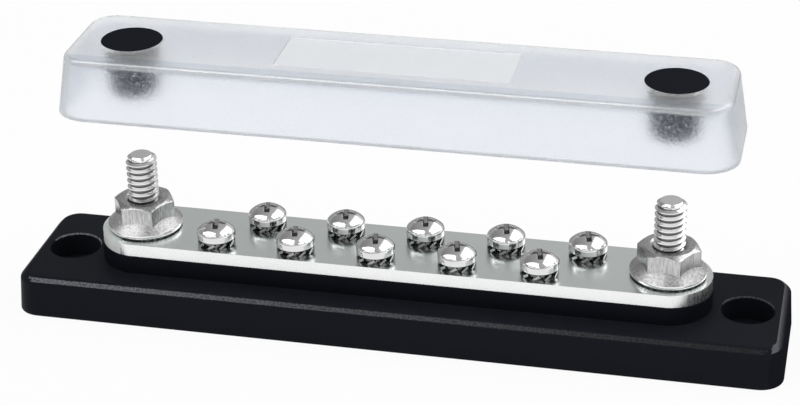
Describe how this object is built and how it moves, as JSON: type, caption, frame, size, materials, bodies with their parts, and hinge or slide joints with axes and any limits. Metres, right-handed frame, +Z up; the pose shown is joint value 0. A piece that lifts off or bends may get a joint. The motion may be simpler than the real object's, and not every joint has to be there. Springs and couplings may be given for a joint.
{
  "type": "bus bar",
  "caption": "Common bus bar on a moulded insulating base: plated bar, threaded end studs with flange nuts, staggered terminal screws with lock washers, and a lift-off frosted cover.",
  "frame": {"origin": "middle of the base's bottom face", "axes": "+X along the bar, +Y away from the viewer across the base, +Z up, the way the studs stand and the cover lifts"},
  "size_m": [0.1572, 0.0318, 0.0568],
  "materials": {
    "base_plastic": "satin black moulded plastic",
    "plated_bar": "tin-plated, satin grey",
    "stud_steel": "bright stainless",
    "nut_steel": "bright stainless",
    "screw_steel": "polished stainless",
    "washer_steel": "bright stainless",
    "cover_plastic": "frosted translucent",
    "plug_rubber": "matt black"
  },
  "bodies": {
    "block": {"base": "base_plastic", "bus_bar": "plated_bar", "studs": "stud_steel", "flange_nuts": "nut_steel", "terminal_screws": "screw_steel", "lock_washers": "washer_steel"},
    "lid": {"cover": "cover_plastic", "plug_left": "plug_rubber", "plug_right": "plug_rubber"}
  },
  "joints": [
    {"name": "cover_lift", "type": "slide", "parent": "block", "child": "lid", "axis": [0, 0, 1], "range_m": [-0.02365, 0]}
  ]
}
